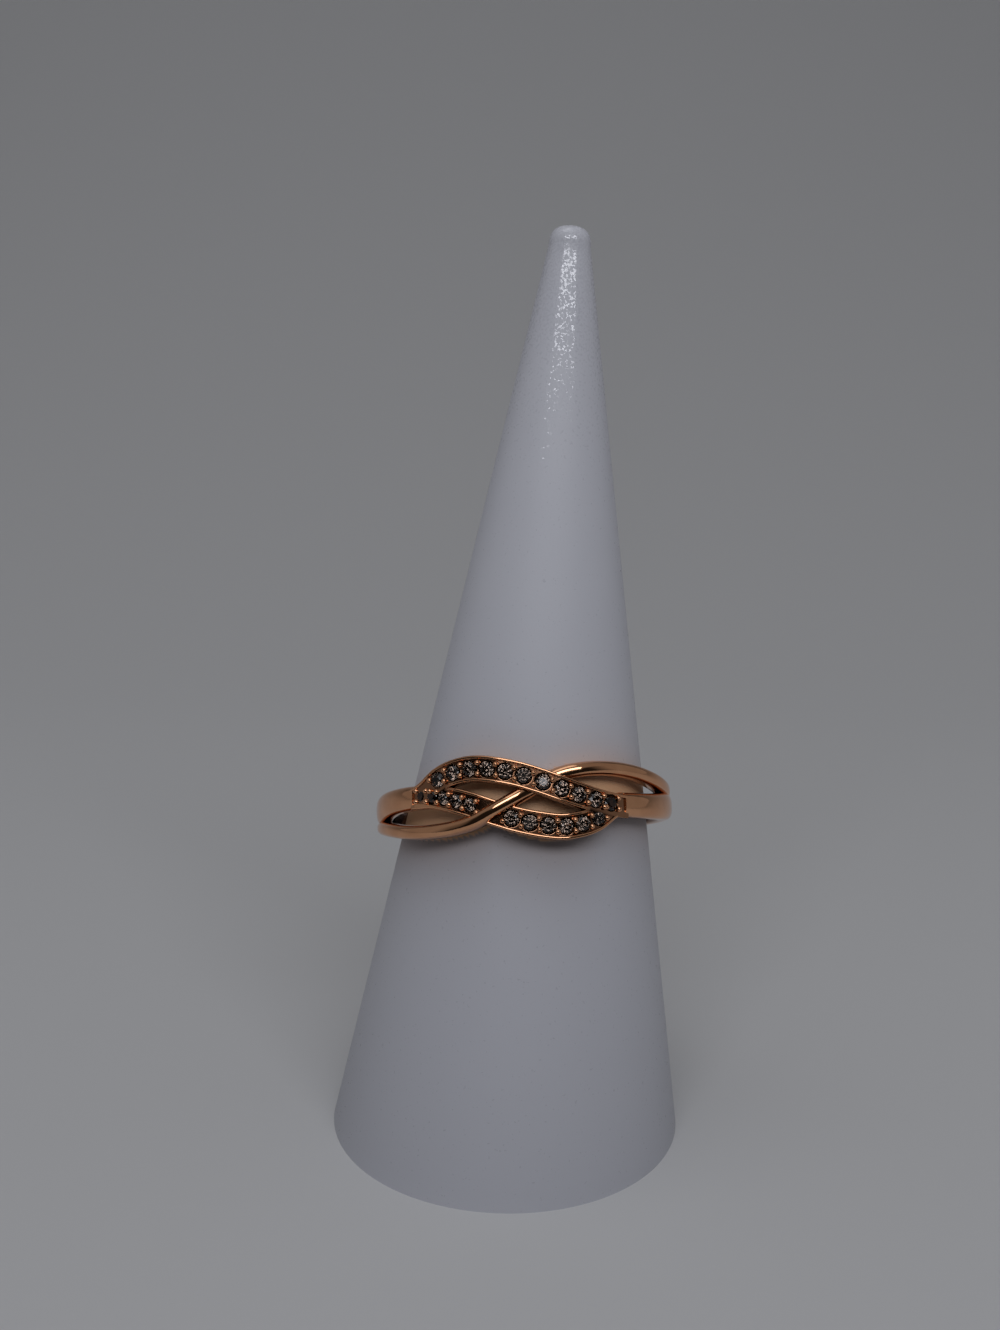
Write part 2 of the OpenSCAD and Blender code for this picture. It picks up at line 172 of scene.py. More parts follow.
def on_band(angle, radius, across):
    """A point of the plan rolled round the bore: the angle turns it, the radius is its
    distance from the bore's middle line and across is its place along that line."""
    a = np.radians(angle)
    return np.stack(np.broadcast_arrays(radius * np.sin(a), -radius * np.cos(a), across), -1)


def worn(points):
    """Points of the ring, in millimetres, turned and moved to the cone, in metres."""
    return (points @ RING_TURN.T + ring_middle) @ CONE_TURN.T * MM


def upright(points):
    """Points of the cone's own frame, in millimetres, in their place in metres."""
    return points @ CONE_TURN.T * MM


print("the cone leans", round(math.degrees(math.acos(CONE_TURN[2, 2])), 1), "degrees from upright")


# %% [markdown]
# ## Skins from arrays
# Every surface below is a grid of rings of points. One helper turns such a grid into a
# closed mesh with its faces pointing out, so no modelling is done by hand and no loop
# runs over the points.

# %% A closed skin over rings of points
EDGE_ANGLE = 35


def skin(name, rings, capped=True, smooth=True, **marks):
    """Quads between each ring and the next, round and round, and one face on each end.
    The sign of the enclosed volume says which way the faces have to point. Marks are
    numbers kept with the points, which the finishes read."""
    count, around = rings.shape[:2]
    at = np.arange(count * around).reshape(count, around)
    a, b = at[:-1], at[1:]
    quads = np.stack([a, b, np.roll(b, -1, 1), np.roll(a, -1, 1)], -1).reshape(-1, 4)
    points = rings.reshape(-1, 3)
    p = points[quads]
    volume = np.einsum("ij,ij->", p[:, 0], np.cross(p[:, 1], p[:, 2]) + np.cross(p[:, 2], p[:, 3]))
    if volume < 0:
        quads = quads[:, ::-1]
    faces = quads.tolist()
    if capped:
        first, last = at[0].tolist(), at[-1][::-1].tolist()
        faces += [first[::-1], last[::-1]] if volume < 0 else [first, last]
    mesh = bpy.data.meshes.new(name)
    mesh.from_pydata(points.tolist(), [], faces)
    mesh.polygons.foreach_set("use_smooth", [smooth] * len(mesh.polygons))
    if smooth:
        mesh.set_sharp_from_angle(angle=math.radians(EDGE_ANGLE))
    for mark, values in marks.items():
        spread = np.broadcast_to(values, (count, around)).astype(np.float32)
        mesh.attributes.new(mark, "FLOAT", "POINT").data.foreach_set("value", spread.ravel())
    piece = bpy.data.objects.new(name, mesh)
    bpy.context.scene.collection.objects.link(piece)
    print(name, len(mesh.polygons), "faces")
    return piece


# %% [markdown]
# ## The shank and the plain strand
# Both are polished round on the outside and eased on the inside, where the ring slips
# over the finger. Real ones are cast with the rest and buffed on a wheel, which leaves
# the top flatter than the edges. Here one profile is carried along the curve of the
# tables: half of a flattened ellipse on shoulders, and shallow curves back to the bore.
# The profile also carries a mark near the bore, which paints shade into the gold's colour on the inside.

# %% The polished profile
DOME_POINTS = 56
SHOULDER, DOME_POWER = 0.44, 2.7
EASED = np.array([[0.0, 0.0], [0.45, 0.0], [0.6, 0.004], [0.74, 0.028], [0.84, 0.062], [0.92, 0.12],
                  [0.97, 0.2]])
turn = np.linspace(0, np.pi, DOME_POINTS)


def bulge(share):
    """Pushes an ellipse's shares outwards: |x|^power + |y|^power = 1 instead of squares."""
    return np.sign(share) * np.abs(share) ** (2 / DOME_POWER)


dome = np.column_stack([bulge(np.cos(turn)), SHOULDER + (1 - SHOULDER) * bulge(np.sin(turn))])
inside = np.vstack([EASED[:0:-1] * [-1, 1], EASED])
POLISHED = np.vstack([dome, inside])
# Painted shade on the inside of the profile, below this share of its height.
INSIDE_SHADE_BELOW = 0.38
inside_shade = np.clip(1 - POLISHED[:, 1] / INSIDE_SHADE_BELOW, 0, 1)
print("points of the profile:", len(POLISHED))


def polished_rings(angles, across, wide, top):
    """The profile at each angle: its first share spreads over the width, its second from
    the bore to the top."""
    side = across[:, None] + POLISHED[:, 0] * wide[:, None] / 2
    radius = BORE_R + (top[:, None] - BORE_R) * POLISHED[:, 1]
    return on_band(angles[:, None], radius, side)


# %% Rings of the shank and of the plain strand
SHANK_SECTIONS, PLAIN_SECTIONS = 320, 460
round_back = np.linspace(ROW_END, 360 - ROW_END, SHANK_SECTIONS)
shank_rings = polished_rings(
    round_back, SWING * flow(SHANK, ACROSS, round_back), SHANK_WIDE * flow(SHANK, WIDTH, round_back),
    np.full(SHANK_SECTIONS, SHANK_TOP))
along_plain = np.linspace(-PLAIN_END, PLAIN_END, PLAIN_SECTIONS)
plain_rings = polished_rings(
    along_plain, SWING * flow(PLAIN, ACROSS, along_plain),
    PLAIN_WIDE * flow(PLAIN, WIDTH, along_plain) * slant(PLAIN, along_plain),
    STRAND_TOP + CROSS_RISE * flow(PLAIN_TOP, 1, along_plain))

# %% How far the ring slid down the cone
band_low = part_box("band")[0].z / MM
own_low = worn(shank_rings)[..., 2].min() / MM
ring_middle[2] = (band_low - own_low) / CONE_TURN[2, 2]
print("the ring's middle sits", round(ring_middle[2], 2), "mm up the cone")
shank = skin("shank", worn(shank_rings), recess=inside_shade)
plain_strand = skin("plain_strand", worn(plain_rings), recess=inside_shade)

# %% [markdown]
# ## The places of the stones
# A setter steps the stones out along each strand with dividers. The upper row has eleven
# of one size. The lower row has five smaller ones on the left, goes under the plain
# strand and comes out with six more.

# %% Stones along the rows
STONE, STONE_SPACE = 1.0, 0.22
SMALL, SMALL_SPACE = 0.88, 0.09
UPPER_STONES, SMALL_STONES, RIGHT_STONES = 11, 5, 6
UPPER_MIDDLE, RIGHT_START, LEFT_LAST, CLOSER = 2.75, -2.0, -17.4, 0.985


def turn_of(length):
    """Degrees that a length takes up along the top of a strand."""
    return math.degrees(length / STRAND_TOP)


pitch, small_pitch = turn_of(STONE + STONE_SPACE), turn_of(SMALL + SMALL_SPACE)
upper_at = UPPER_MIDDLE + (np.arange(UPPER_STONES) - UPPER_STONES // 2) * pitch
small_at = LEFT_LAST - np.arange(SMALL_STONES)[::-1] * small_pitch
right_at = RIGHT_START + np.arange(RIGHT_STONES) * pitch * CLOSER
lower_at = np.concatenate([small_at, right_at])
upper_d = np.full(UPPER_STONES, STONE)
lower_d = np.concatenate([np.full(SMALL_STONES, SMALL), np.full(RIGHT_STONES, STONE)])
print("stones:", len(upper_at) + len(lower_at))

# %% [markdown]
# ## The two stone-set strands
# Such a strand is a channel: a thin bright rail along each edge, a floor between them,
# and a drilled seat for each stone. It could be cut with booleans, but those leave ragged
# triangles that polished metal shows. Instead the strand's upper side is a height worked
# out on a fine grid: rail plus floor minus seats, and the sides and the inside close it.

# %% Across, width and height of a row
RAIL_WIDE, RAIL_HIGH = 0.2, 0.13
RAIL_FOOT = 1.2
MEET, BLEND, SUNK = 27, 4, 0.12
UPPER_INTO, LOWER_INTO = 1.6, 1.1
BORDER = np.array([[-60, 0], [22, 0], [28, 0], [34, 0.3], [40, 1.0], [46, 1.1], [60, 1.1]])
rows = {
    "upper": dict(table=UPPER, at=upper_at, size=upper_d, end=ROW_END + UPPER_INTO),
    "lower": dict(table=LOWER, at=lower_at, size=lower_d, end=ROW_END + LOWER_INTO)}


def row_across(row, angle):
    """How far across the band a row's middle line lies."""
    return SWING * flow(rows[row]["table"], ACROSS, angle)


def row_wide(row, angle):
    """The width from the table, made wider where the row leans."""
    return PAVE_WIDE * flow(rows[row]["table"], WIDTH, angle) * slant(rows[row]["table"], angle)


def row_top(row, angle):
    """How far the rails stand from the bore's middle line."""
    high = flow(UPPER, TOP, angle) if row == "upper" else flow(LOWER_TOP, 1, angle)
    return STRAND_TOP + CROSS_RISE * high


def row_border(row, angle):
    """Where a row runs into the shank, its lower rail widens to a smooth border."""
    return RAIL_WIDE * flow(BORDER, 1, angle if row == "upper" else -angle)


def inner_share(angle):
    """The rail on the side of the other row sinks where the two rows run together."""
    return np.clip((MEET - np.abs(angle)) / BLEND, SUNK, 1)


print("the upper row is", round(float(row_wide("upper", np.arange(-40, 41)).max()), 2), "mm wide at most")


# %% The seats and the rails as heights
SEAT_GAP = 0.03
GIRDLE_SINK = 0.02
SEAT_STEEP = 0.86
RIM = 0.05


def seat_depth(row, angle, across):
    """Depth under the floor: a cone under each stone, steep at its rim, where a small
    bevel catches the light. Distances are measured along the band and across it."""
    depth = np.zeros(np.broadcast(angle, across).shape)
    for at, size in zip(rows[row]["at"], rows[row]["size"]):
        run = np.radians(angle - at) * (row_top(row, at) - RAIL_HIGH)
        away = np.hypot(run, across - row_across(row, at))
        edge = size / 2 + SEAT_GAP
        bevel = np.clip((edge + RIM - away) / RIM, 0, 1)
        cone = np.clip(edge - away, 0, None) * SEAT_STEEP
        depth = np.maximum(depth, bevel * (GIRDLE_SINK + RIM) + cone)
    return depth


def rail_height(inward, high, border=0.0):
    """A rounded ridge: the height falls off with the third power of the distance from
    the ridge's middle line. A border keeps the ridge's height over its own width."""
    half = RAIL_WIDE * RAIL_FOOT / 2
    middle = np.clip(inward, half - border, half)
    share = np.clip(np.abs(inward - middle) / half, 0, 1)
    return high * np.sqrt(1 - share ** 3)


first = upper_at[:1]
print("depth of a seat:", round(float(seat_depth("upper", first, row_across("upper", first))[0]), 2), "mm")


# %% Build the two rows
TOP_POINTS, ROW_SECTIONS = 84, 900
EDGE_DENSER = 0.12
# Depth below the rails at which the painted shade in the channels is full.
RECESS_SHADE_DEEP = 0.2


def row_rings(row):
    """The closed outline at each angle: the top from one edge to the other, then the sides and the eased
    inside. A mark of painted shade grows with the depth below the rails."""
    angles = np.linspace(-rows[row]["end"], rows[row]["end"], ROW_SECTIONS)[:, None]
    half, middle, top = row_wide(row, angles) / 2, row_across(row, angles), row_top(row, angles)
    border = row_border(row, angles)
    spread = np.linspace(1, -1, TOP_POINTS)
    spread = spread * (1 - EDGE_DENSER * (1 - spread ** 2))
    side = spread * half - border * np.clip(-spread, 0, 1)
    upper_rail, lower_rail = np.full_like(angles, RAIL_HIGH), RAIL_HIGH * inner_share(angles)
    if row == "lower":
        upper_rail, lower_rail = lower_rail, upper_rail
    floor = top - RAIL_HIGH + (
        rail_height(half - side, upper_rail) + rail_height(half + side, lower_rail, border))
    height = floor - seat_depth(row, angles, middle + side)
    back_side = inside[:, 0] * half - border * (inside[:, 0] < 0)
    back = np.broadcast_to(BORE_R + inside[:, 1] * STRAND_THICK, back_side.shape)
    # Painted shade: full on the sides, the inside and both ends, and on the top growing with the depth
    # below the rails.
    recess = np.hstack([np.clip((top - height) / RECESS_SHADE_DEEP, 0, 1), np.ones_like(back)])
    recess[[0, -1]] = 1.0
    return on_band(angles, np.hstack([height, back]), middle + np.hstack([side, back_side])), recess


upper_rings, upper_recess = row_rings("upper")
lower_rings, lower_recess = row_rings("lower")
upper_strand = skin("upper_strand", worn(upper_rings), recess=upper_recess)
lower_strand = skin("lower_strand", worn(lower_rings), recess=lower_recess)

# %% [markdown]
# ## The grains that hold the stones
# Between the stones the setter raises small grains of metal and rounds each with a cupped
# tool, so that it grips the edges of its stones and sparkles like a bead. All the grains
# are one joined mesh of small domes, worked out in one step from the list of their places.

# %% Places of the grains
GRAIN = 0.38
GRAIN_IN = 0.64
GRAIN_HEAD = 0.26
from_middle = PAVE_WIDE / 2 - RAIL_FOOT * RAIL_WIDE - GRAIN_IN * GRAIN
groups = [("upper", upper_at, pitch), ("lower", small_at, small_pitch), ("lower", right_at, pitch)]
places = [
    (angle, row_across(row, angle) + side * from_middle, row_top(row, angle) - RAIL_HIGH - GIRDLE_SINK)
    for row, at, step in groups
    for angle in np.append(at[0] - step / 2, at + step / 2)
    for side in (-1, 1)]
grain_at = np.array(places)
print("grains:", len(grain_at))

# %% Build the grains
GRAIN_AROUND, GRAIN_RINGS = 16, 9
GRAIN_STEM, GRAIN_POLE = 0.3, 0.02


def grain_mesh(name, at):
    """Each grain is a dome on a short stem: rings whose radius and height follow a
    quarter circle, set upright on the band at the grain's angle."""
    fall = np.linspace(0, np.pi / 2, GRAIN_RINGS)
    around = np.linspace(0, 2 * np.pi, GRAIN_AROUND, endpoint=False)
    radius = np.append(np.sin(fall), 1.0) * GRAIN / 2
    height = np.append(GRAIN_HEAD * GRAIN + np.cos(fall) * GRAIN / 2, -GRAIN_STEM * GRAIN)
    radius[0] = GRAIN_POLE * GRAIN
    run = (radius[:, None] * np.cos(around)).ravel()
    side = (radius[:, None] * np.sin(around)).ravel()
    up = np.repeat(height, GRAIN_AROUND)
    a = np.radians(at[:, :1])
    out, forward = at[:, 2:] + up, run
    points = np.stack([
        out * np.sin(a) + forward * np.cos(a), -out * np.cos(a) + forward * np.sin(a),
        at[:, 1:2] + side], -1)
    ring = np.arange((GRAIN_RINGS + 1) * GRAIN_AROUND).reshape(-1, GRAIN_AROUND)
    a, b = ring[:-1], ring[1:]
    quads = np.stack([a, b, np.roll(b, -1, 1), np.roll(a, -1, 1)], -1).reshape(-1, 4)
    step = (np.arange(len(at)) * ring.size)[:, None, None]
    faces = (quads[None] + step).reshape(-1, 4).tolist()
    faces += (ring[0][::-1][None] + step[:, 0]).tolist() + (ring[-1][None] + step[:, 0]).tolist()
    mesh = bpy.data.meshes.new(name)
    mesh.from_pydata(worn(points.reshape(-1, 3)).tolist(), [], faces)
    mesh.polygons.foreach_set("use_smooth", [True] * len(mesh.polygons))
    mesh.attributes.new("bead", "FLOAT", "POINT").data.foreach_set("value", [1.0] * len(mesh.vertices))
    piece = bpy.data.objects.new(name, mesh)
    bpy.context.scene.collection.objects.link(piece)
    print(name, len(mesh.polygons), "faces")
    return piece


grains = grain_mesh("grains", grain_at)

# %% [markdown]
# ## The round cut stones
# A round stone has a flat table, eight kites and sixteen small facets on its crown, a
# thin edge and a pointed underside of kites and halves. Flat facets are what makes it
# flash, so the mesh has exactly those facets and no smooth shading.

# %% Corners and facets of one stone
CROWN, PAVILION, TABLE, GIRDLE = 0.17, 0.42, 0.56, 0.05
STAR, LOWER_STAR = 0.76, 0.24


def stone_corners():
    """Rings of corners as shares of the diameter. Each kite is flat, because its two side
    corners lie on the plane through its inner and outer corner."""
    eight = np.radians(np.arange(8) * 45)
    between, sixteen = eight + np.radians(22.5), np.radians(np.arange(16) * 22.5)
    edge, lean = GIRDLE / 2, math.cos(math.radians(22.5))
    table_r, star_r, low_r = TABLE / 2, STAR / 2, LOWER_STAR / 2
    star_z = edge + CROWN * (0.5 - star_r * lean) / (0.5 - table_r)
    low_z = -edge - PAVILION * (0.5 - low_r * lean) / 0.5

    def circle(r, z, turns):
        return np.column_stack([r * np.cos(turns), r * np.sin(turns), np.full(len(turns), z)])

    return np.vstack([
        circle(table_r, edge + CROWN, eight), circle(star_r, star_z, between),
        circle(0.5, edge, sixteen), circle(0.5, -edge, sixteen),
        circle(low_r, low_z, between), [[0, 0, -edge - PAVILION]]])


def stone_facets():
    """The facets as rows of corner numbers, counted round the stone."""
    table, star, up, down, low, point = 0, 8, 16, 32, 48, 56
    facets = [[table + k for k in range(8)]]
    for k in range(8):
        nxt, last = (k + 1) % 8, (k - 1) % 8
        a, b, c = 2 * k, 2 * k + 1, (2 * k + 2) % 16
        facets += [[table + k, star + k, table + nxt]]
        facets += [[table + k, star + last, up + a, star + k]]
        facets += [[star + k, up + a, up + b], [star + k, up + b, up + c]]
        facets += [[up + a, down + a, down + b, up + b], [up + b, down + b, down + c, up + c]]
        facets += [[low + k, down + b, down + a], [low + k, down + c, down + b]]
        facets += [[point, low + k, down + a, low + last]]
    return facets


print("facets on a stone:", len(stone_facets()))

# %% Set the stones
SETTER_SEED = 5
TILT_DEG = 2.5
setter = np.random.default_rng(SETTER_SEED)


def set_stone(row, number):
    """One stone: scaled to its size, turned a little at random about its axis, tilted by
    a degree or two, as a hand-set stone is, and brought to its seat."""
    at, size = rows[row]["at"][number], rows[row]["size"][number]
    spin, tilt_a, tilt_b = setter.uniform(0, 45), *setter.uniform(-TILT_DEG, TILT_DEG, 2)
    own = stone_corners() * size @ (turned("X", tilt_a) @ turned("Y", tilt_b) @ turned("Z", spin)).T
    out = row_top(row, at) - RAIL_HIGH - GIRDLE_SINK + own[:, 2]
    a = math.radians(at)
    points = np.column_stack([
        out * math.sin(a) + own[:, 0] * math.cos(a), -out * math.cos(a) + own[:, 0] * math.sin(a),
        row_across(row, at) + own[:, 1]])
    name = f"{row}_cut_stone_{number + 1}"
    mesh = bpy.data.meshes.new(name)
    mesh.from_pydata(worn(points).tolist(), [], stone_facets())
    piece = bpy.data.objects.new(name, mesh)
    bpy.context.scene.collection.objects.link(piece)
    return piece


stones = {(row, i): set_stone(row, i) for row in rows for i in range(len(rows[row]["at"]))}
print("stones set:", len(stones))

# %% [markdown]
# ## The display cone
# The cone is moulded in one piece of white plastic: a straight side and a small, rather
# blunt round tip. It leans, so its foot is ground flat to the floor. A line is carried
# round the axis, and each line stops where it meets the floor.

# %% The cone's surface
CONE_SIDES, TIP_STEPS = 256, 24
BLUNT, TIP_POLE = 0.2, 0.004
# Stretches of the line as from, to and steps. The middle one lies behind the ring.
STRETCHES = [(0, 0.24, 16), (0.25, 0.47, 90), (0.48, 1, 34)]
cone_steps = np.concatenate([np.linspace(*stretch) for stretch in STRETCHES])
half_point = math.acos(TIP_R / math.hypot(BASE_R, CONE_H - TIP_R)) - math.atan2(CONE_H - TIP_R, BASE_R)


def cone_rings():
    """Along each line: the straight side from the floor to where the round tip begins,
    then the tip's flattened arc. The length below the floor is cut off line by line."""
    around = np.linspace(0, 2 * np.pi, CONE_SIDES, endpoint=False)
    out = np.column_stack([np.cos(around), np.sin(around), np.zeros(CONE_SIDES)])
    axis = np.array([0.0, 0.0, 1.0])
    joint_r, joint_h = TIP_R * math.cos(half_point), CONE_H - TIP_R + TIP_R * math.sin(half_point)
    foot = BASE_R * out
    top = joint_r * out + joint_h * axis
    foot_z, top_z = (foot @ CONE_TURN.T)[:, 2], (top @ CONE_TURN.T)[:, 2]
    start = (-foot_z / (top_z - foot_z))[:, None]
    share = cone_steps[:, None, None]
    side = foot + (start + (1 - start) * share) * (top - foot)
    rise = np.linspace(0, math.pi / 2 - TIP_POLE, TIP_STEPS)[1:, None, None]
    tip = joint_r * bulge(np.cos(rise)) * out + (
        joint_h + (CONE_H + BLUNT - joint_h) * bulge(np.sin(rise))) * axis
    return np.concatenate([side, tip])


# %% [markdown]
# ## Light and shade painted on the cone
# Polished gold throws warm light on the white plastic behind it and keeps light off the plastic below it,
# and the foot lies in more shade than the thin tip. A renderer finds such soft light slowly, so here that
# light and shade are painted into the plastic's colour. The tip is shiny from being handled. Each point of
# the cone carries four marks between 0 and 1, worked out from how near the strands are and how high the
# point lies: a painted glow, a painted shadow, a handled mark and a painted darker foot. The plastic's
# finish reads them.

# %% Where the ring changes the light on the cone
# The glow from the gold and the shadow under the ring are painted into the cone's colour; these say how
# far they reach.
GLOW_FADE, GLOW_OUTSIDE = 0.9, 0.3
SHADE_FADE, SHADE_FULL = 2.4, 0.72
ROW_SAMPLES, PLAIN_SAMPLES = 90, 200
on_rows = np.linspace(-ROW_END, ROW_END, ROW_SAMPLES)
on_plain = np.linspace(-PLAIN_END, PLAIN_END, PLAIN_SAMPLES)
strands = [
    (on, SWING * flow(table, ACROSS, on), wide * flow(table, WIDTH, on) * slant(table, on) / 2)
    for table, wide, on in (
        (UPPER, PAVE_WIDE, on_rows), (LOWER, PAVE_WIDE, on_rows), (PLAIN, PLAIN_WIDE, on_plain))]


def light_marks(rings):
    """Two shares for each point of the cone, both painted into its colour. The painted glow is the share
    of its light that comes from the gold: all of it between the highest and the lowest strand at that
    angle, and less further away. The painted shadow is the soft shadow under the lowest strand."""
    own = (rings - ring_middle) @ RING_TURN
    angle, across = np.degrees(np.arctan2(own[..., 0], -own[..., 1])), own[..., 2]
    high = np.full_like(angle, SHANK_WIDE / 2 * SHANK_HALF[-1, WIDTH])
    low = -high
    for on, middle, half in strands:
        high = np.maximum(high, np.interp(angle, on, middle + half, left=0, right=0))
        low = np.minimum(low, np.interp(angle, on, middle - half, left=0, right=0))
    outside = np.maximum(across - high, low - across)
    warm = np.where(outside < 0, 1.0, GLOW_OUTSIDE * np.exp(-np.maximum(outside, 0) / GLOW_FADE))
    below = low - across
    shade = np.where(below > 0, SHADE_FULL * np.exp(-np.maximum(below, 0) / SHADE_FADE), 0.0)
    return warm, shade


# %% Build the cone with its marks
HANDLED_FROM = 45.0
cone_grid = cone_rings()
height_up = cone_grid[..., 2]
warm, shade = light_marks(cone_grid)
handled = np.clip((height_up - HANDLED_FROM) / (CONE_H - HANDLED_FROM), 0, 1)
# Painted shade: the colour grows darker towards the foot.
foot = (1 - height_up / CONE_H) ** 2
display_cone = skin(
    "display_cone", upright(cone_grid), warm=warm, shade=shade, handled=handled, foot=foot)
print("half the cone's point:", round(math.degrees(half_point), 2), "degrees")

# %% [markdown]
# ## Rose gold
# The ring is polished rose gold plate. What the eye reads as its colour is mostly what it
# mirrors, so the shader is a full metal with a low roughness. Two things keep it from
# looking like a computer's gold: very fine buffing marks and slow changes of polish.
# Both come from one node group, which the other finishes use too, with their own values.
# In the channels, the seats and on the inside a mark paints shade: the colour there turns to a dark brown.
# The bead mark makes the grains a little less sharp than the rails.

# %% A node group for a worn polish
def socket(group, name, kind, direction, value=None):
    """Adds an input or an output to a group, with its value at the start."""
    made = group.interface.new_socket(name, in_out=direction, socket_type=kind)
    if value is not None:
        made.default_value = value


def worn_surface_group():
    """Puts out a roughness and a height that change over the surface. The roughness is a
    base plus a spread times soft noise, and the height is fine grain plus soft waves."""
    group = bpy.data.node_groups.new("worn_surface", "ShaderNodeTree")
    for name, value in (("Grain scale", 4000.0), ("Cloud scale", 300.0), ("Base", 0.1), ("Spread", 0.1),
                        ("Waves", 0.2)):
        socket(group, name, "NodeSocketFloat", "INPUT", value)
    socket(group, "Roughness", "NodeSocketFloat", "OUTPUT")
    socket(group, "Height", "NodeSocketFloat", "OUTPUT")
    add, link = group.nodes.new, group.links.new
    given, out = add("NodeGroupInput"), add("NodeGroupOutput")
    place = add("ShaderNodeTexCoord")
    grain, cloud = add("ShaderNodeTexNoise"), add("ShaderNodeTexNoise")
    grain.inputs["Detail"].default_value = 3
    cloud.inputs["Detail"].default_value = 2
    for noise, scale in ((grain, "Grain scale"), (cloud, "Cloud scale")):
        link(place.outputs["Object"], noise.inputs["Vector"])
        link(given.outputs[scale], noise.inputs["Scale"])
    rough, height = add("ShaderNodeMath"), add("ShaderNodeMath")
    rough.operation = height.operation = "MULTIPLY_ADD"
    link(cloud.outputs["Fac"], rough.inputs[0])
    link(given.outputs["Spread"], rough.inputs[1])
    link(given.outputs["Base"], rough.inputs[2])
    link(cloud.outputs["Fac"], height.inputs[0])
    link(given.outputs["Waves"], height.inputs[1])
    link(grain.outputs["Fac"], height.inputs[2])
    link(rough.outputs[0], out.inputs["Roughness"])
    link(height.outputs[0], out.inputs["Height"])
    return group


worn_surface = worn_surface_group()
print("group made:", worn_surface.name)


# %% A finish with the worn polish in it
def finish(name, values, bump, distance):
    """A Principled shader with the group's roughness and height, and the group node."""
    material = bpy.data.materials.new(name)
    material.use_nodes = True
    nodes, link = material.node_tree.nodes, material.node_tree.links.new
    shader = nodes["Principled BSDF"]
    group, relief = nodes.new("ShaderNodeGroup"), nodes.new("ShaderNodeBump")
    group.node_tree = worn_surface
    for key, value in values.items():
        group.inputs[key].default_value = value
    relief.inputs["Strength"].default_value = bump
    relief.inputs["Distance"].default_value = distance
    link(group.outputs["Roughness"], shader.inputs["Roughness"])
    link(group.outputs["Height"], relief.inputs["Height"])
    link(relief.outputs["Normal"], shader.inputs["Normal"])
    print("finish:", name)
    return material, nodes, link, shader


DRIFT_FROM, DRIFT_TO = 0.35, 0.65


def mottled_colour(nodes, link, shader, low, high, scale, **marked):
    """Base colour that drifts between two near tones with soft noise. Where a mark on the
    mesh is full, the colour is the marked one instead."""
    place, noise, ramp = (nodes.new(n) for n in (
        "ShaderNodeTexCoord", "ShaderNodeTexNoise", "ShaderNodeValToRGB"))
    noise.inputs["Scale"].default_value = scale
    link(place.outputs["Object"], noise.inputs["Vector"])
    link(noise.outputs["Fac"], ramp.inputs["Fac"])
    for stop, at, tone in zip(ramp.color_ramp.elements, (DRIFT_FROM, DRIFT_TO), (low, high)):
        stop.position, stop.color = at, (*tone, 1)
    colour = ramp.outputs["Color"]
    for mark, tone in marked.items():
        read, blend = nodes.new("ShaderNodeAttribute"), nodes.new("ShaderNodeMix")
        read.attribute_name, blend.data_type = mark, "RGBA"
        link(read.outputs["Fac"], blend.inputs["Factor"])
        link(colour, blend.inputs["A"])
        blend.inputs["B"].default_value = (*tone, 1)
        colour = blend.outputs["Result"]
    link(colour, shader.inputs["Base Color"])


# %% Rose gold
# The third gold colour is painted shade for the channels, the seats and the inside.
GOLD_DEEP, GOLD_PALE, GOLD_SHADE = (0.74, 0.375, 0.20), (0.82, 0.43, 0.235), (0.10, 0.045, 0.03)
rose_gold, nodes, link, shader = finish(
    "rose_gold", {"Grain scale": 9000, "Cloud scale": 500, "Base": 0.04, "Spread": 0.07, "Waves": 0.6},
    bump=0.05, distance=0.00002)
shader.inputs["Metallic"].default_value = 1.0
mottled_colour(nodes, link, shader, GOLD_DEEP, GOLD_PALE, scale=700, recess=GOLD_SHADE)

# %% The grains a little rougher
BEAD_ROUGH = 0.08
bead, rough = nodes.new("ShaderNodeAttribute"), nodes.new("ShaderNodeMath")
bead.attribute_name, rough.operation = "bead", "MULTIPLY_ADD"
rough.inputs[1].default_value = BEAD_ROUGH
link(bead.outputs["Fac"], rough.inputs[0])
link(shader.inputs["Roughness"].links[0].from_socket, rough.inputs[2])
link(rough.outputs[0], shader.inputs["Roughness"])
print("grains rougher by", BEAD_ROUGH)

# %% [markdown]
# ## Clear stones
# The stones are clear and break the light strongly. In dim light they look dark, with a
# few white flashes, because each facet sends the eye to one small part of the room. A
# dark specular tint holds back what the flat tables mirror, or two of them would show
# the lamp as white discs.

# %% Clear stone
STONE_DEEP, STONE_PALE, STONE_MIRROR = (0.10, 0.075, 0.06), (0.17, 0.125, 0.10), (0.3, 0.3, 0.3, 1)
clear_stone, nodes, link, shader = finish(
    "clear_stone", {"Grain scale": 6000, "Cloud scale": 900, "Base": 0.0, "Spread": 0.04, "Waves": 0.0},
    bump=0.0, distance=0.00001)
shader.inputs["Transmission Weight"].default_value = 1.0
shader.inputs["IOR"].default_value = 2.15
shader.inputs["Specular Tint"].default_value = STONE_MIRROR
mottled_colour(nodes, link, shader, STONE_DEEP, STONE_PALE, scale=900)

# %% [markdown]
# ## White plastic
# The cone is white plastic with a satin skin. It looks faintly violet in cool light. Near the tip, where a
# lamp is mirrored in it, the glint is broken into bright specks. They are made as small glossy spots in
# the satin: fine noise plus the handled mark, cut off sharply, so the spots are dense at the tip and die
# out lower down. The other three marks paint light and shade into the plastic's colour: warm light from
# the gold, a shadow under the ring and a darker foot.

# %% Satin plastic
WHITE_DEEP, WHITE_PALE = (0.685, 0.69, 0.755), (0.71, 0.715, 0.775)
